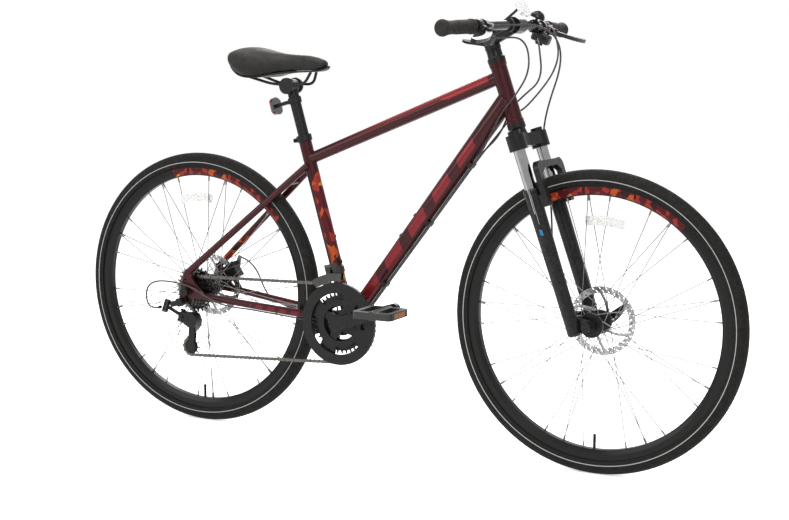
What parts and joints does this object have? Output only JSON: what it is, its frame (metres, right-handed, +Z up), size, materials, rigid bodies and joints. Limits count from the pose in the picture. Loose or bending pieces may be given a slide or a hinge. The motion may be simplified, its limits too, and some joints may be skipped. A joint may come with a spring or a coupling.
{
  "type": "hybrid bike",
  "caption": "Upright hybrid bicycle with a sloping diamond frame, suspension fork, disc brakes, flat handlebar, padded saddle and derailleur drive.",
  "frame": {"origin": "on the ground, midway between the two axles", "axes": "+X forward, +Y to the rider's left, +Z up"},
  "size_m": [1.7889, 0.6812, 1.0823],
  "materials": {
    "frame_paint": "gloss metallic",
    "black_paint": "satin",
    "black_metal": "anodised satin",
    "silver": "satin",
    "steel": "polished",
    "chrome": "polished",
    "tyre": "matte",
    "rubber": "matte",
    "plastic": "matte",
    "cover": "matte",
    "clear_lens": "faceted lens",
    "red_lens": "faceted lens",
    "spoke_set": "polished",
    "cable": "satin",
    "chain_steel": "oiled"
  },
  "bodies": {
    "frame": {"head_tube": "frame_paint", "top_tube": "frame_paint", "down_tube": "frame_paint", "seat_tube": "frame_paint", "bottom_bracket_shell": "frame_paint", "rear_stays": "frame_paint", "dropouts": "frame_paint", "bearing_cups": "black_metal", "seat_clamp": "black_metal", "chain": "chain_steel", "rear_axle": "steel", "rear_caliper": "black_metal", "front_derailleur_base": "silver", "rear_derailleur_mount": "black_metal", "frame_cables": "cable"},
    "seat": {"seatpost": "black_metal", "saddle_rails": "steel", "saddle_base": "plastic", "saddle_cover": "cover", "rear_reflector": "red_lens"},
    "steering": {"fork_crown": "black_paint", "stanchions": "chrome", "stem": "black_metal", "handlebar": "black_metal", "grips": "rubber", "bar_controls": "plastic", "front_reflector": "clear_lens", "front_brake_cable": "cable"},
    "lowers": {"fork_lowers": "black_paint", "front_caliper": "black_metal", "front_axle": "steel"},
    "front_wheel": {"front_tyre": "tyre", "front_rim": "black_metal", "front_spokes": "spoke_set", "front_hub": "black_metal", "front_rotor": "steel"},
    "rear_wheel": {"rear_tyre": "tyre", "rear_rim": "black_metal", "rear_spokes": "spoke_set", "rear_hub": "black_metal", "rear_rotor": "steel"},
    "cassette": {"cassette": "steel"},
    "crankset": {"crank_spindle": "steel", "right_crank": "black_metal", "chainrings": "black_metal", "left_crank": "black_metal"},
    "right_pedal": {"right_pedal": "plastic"},
    "left_pedal": {"left_pedal": "plastic"},
    "right_brake_lever": {"brake_lever_right": "black_metal"},
    "left_brake_lever": {"brake_lever_left": "black_metal"},
    "right_thumb_lever": {"thumb_lever_right": "plastic"},
    "left_thumb_lever": {"thumb_lever_left": "plastic"},
    "front_arm": {"front_caliper_arm": "silver"},
    "rear_arm": {"rear_caliper_arm": "silver"},
    "front_cage": {"front_derailleur_cage": "silver"},
    "shift_link": {"rear_derailleur_link": "black_metal"},
    "shift_knuckle": {"rear_derailleur_knuckle": "black_metal"},
    "pulley_cage": {"rear_derailleur_cage": "black_metal"},
    "guide_pulley": {"guide_pulley": "plastic"},
    "tension_pulley": {"tension_pulley": "plastic"}
  },
  "joints": [
    {"name": "steering", "type": "hinge", "parent": "frame", "child": "steering", "pos_m": [0.49717, 0, 0.33505], "axis": [-0.3256, 0, 0.9455], "range_deg": [-50, 50], "deforming": ["frame_cables", "front_brake_cable"]},
    {"name": "fork_travel", "type": "slide", "parent": "steering", "child": "lowers", "axis": [-0.3256, 0, 0.9455], "range_m": [0, 0.063], "stiffness_N_per_m": 9000, "springref_m": -0.012, "deforming": ["front_brake_cable"]},
    {"name": "front_wheel_spin", "type": "hinge", "parent": "lowers", "child": "front_wheel", "pos_m": [0.5435, 0, 0.351], "axis": [0, 1, 0], "continuous": true},
    {"name": "rear_wheel_spin", "type": "hinge", "parent": "frame", "child": "rear_wheel", "pos_m": [-0.5435, 0, 0.351], "axis": [0, 1, 0], "continuous": true},
    {"name": "crank_spin", "type": "hinge", "parent": "frame", "child": "crankset", "pos_m": [-0.10322, 0, 0.302], "axis": [0, 1, 0], "continuous": true, "deforming": ["chain"]},
    {"name": "cassette_spin", "type": "hinge", "parent": "frame", "child": "cassette", "pos_m": [-0.5435, 0, 0.351], "axis": [0, 1, 0], "continuous": true, "deforming": ["chain"]},
    {"name": "right_pedal_spin", "type": "hinge", "parent": "crankset", "child": "right_pedal", "pos_m": [0.05846, 0, 0.35453], "axis": [0, 1, 0], "continuous": true},
    {"name": "left_pedal_spin", "type": "hinge", "parent": "crankset", "child": "left_pedal", "pos_m": [-0.2649, 0, 0.24947], "axis": [0, 1, 0], "continuous": true},
    {"name": "front_brake_lever", "type": "hinge", "parent": "steering", "child": "right_brake_lever", "pos_m": [0.35324, -0.18822, 1.00671], "axis": [-0.3876, 0.0666, -0.9194], "range_deg": [0, 15], "stiffness_Nm_per_rad": 2, "springref_deg": -8.59},
    {"name": "rear_brake_lever", "type": "hinge", "parent": "steering", "child": "left_brake_lever", "pos_m": [0.35324, 0.18822, 1.00671], "axis": [0.3876, 0.0666, 0.9194], "range_deg": [0, 15], "stiffness_Nm_per_rad": 2, "springref_deg": -8.59},
    {"name": "right_shift_lever", "type": "hinge", "parent": "steering", "child": "right_thumb_lever", "pos_m": [0.339, -0.16289, 1.01454], "axis": [0.3876, -0.0666, 0.9194], "range_deg": [-30, 0], "stiffness_Nm_per_rad": 0.5, "springref_deg": 8.59},
    {"name": "left_shift_lever", "type": "hinge", "parent": "steering", "child": "left_thumb_lever", "pos_m": [0.339, 0.16289, 1.01454], "axis": [-0.3876, -0.0666, -0.9194], "range_deg": [-30, 0], "stiffness_Nm_per_rad": 0.5, "springref_deg": 8.59},
    {"name": "front_brake_arm", "type": "hinge", "parent": "lowers", "child": "front_arm", "pos_m": [0.47377, 0.0553, 0.3449], "axis": [0, 1, 0], "range_deg": [0, 22], "deforming": ["front_brake_cable"]},
    {"name": "rear_brake_arm", "type": "hinge", "parent": "frame", "child": "rear_arm", "pos_m": [-0.48547, 0.0693, 0.39014], "axis": [0, 1, 0], "range_deg": [0, 22], "deforming": ["frame_cables"]},
    {"name": "front_shift", "type": "hinge", "parent": "frame", "child": "front_cage", "pos_m": [-0.14236, -0.034, 0.4385], "axis": [0.9613, 0, 0.2756], "range_deg": [-6, 6], "deforming": ["chain", "frame_cables"]},
    {"name": "rear_shift", "type": "hinge", "parent": "frame", "child": "shift_link", "pos_m": [-0.6015, -0.084, 0.31], "axis": [0, 0.5, 0.866], "range_deg": [-10, 20], "deforming": ["chain", "frame_cables"]},
    {"name": "rear_shift_level", "type": "hinge", "parent": "shift_link", "child": "shift_knuckle", "pos_m": [-0.5655, -0.0677, 0.285], "axis": [0, 0.5, 0.866], "range_deg": [-20, 10], "deforming": ["chain", "frame_cables"]},
    {"name": "cage_swing", "type": "hinge", "parent": "shift_knuckle", "child": "pulley_cage", "pos_m": [-0.5315, -0.06, 0.2755], "axis": [0, 1, 0], "range_deg": [-20, 30], "stiffness_Nm_per_rad": 1, "deforming": ["chain"]},
    {"name": "guide_pulley_spin", "type": "hinge", "parent": "pulley_cage", "child": "guide_pulley", "pos_m": [-0.5405, -0.052, 0.271], "axis": [0, 1, 0], "continuous": true, "deforming": ["chain"]},
    {"name": "tension_pulley_spin", "type": "hinge", "parent": "pulley_cage", "child": "tension_pulley", "pos_m": [-0.54651, -0.052, 0.20327], "axis": [0, 1, 0], "continuous": true, "deforming": ["chain"]},
    {"name": "seat_height", "type": "slide", "parent": "frame", "child": "seat", "axis": [-0.2756, 0, 0.9613], "range_m": [-0.06, 0.06]}
  ],
  "couplings": [
    {"joint": "cassette_spin", "follows": "crank_spin", "ratio": 2.6667},
    {"joint": "tension_pulley_spin", "follows": "crank_spin", "ratio": 4.3636},
    {"joint": "guide_pulley_spin", "follows": "crank_spin", "ratio": -4.3636},
    {"joint": "front_brake_arm", "follows": "front_brake_lever", "ratio": 1.2},
    {"joint": "rear_brake_arm", "follows": "rear_brake_lever", "ratio": 1.2},
    {"joint": "rear_shift_level", "follows": "rear_shift", "ratio": -1}
  ]
}
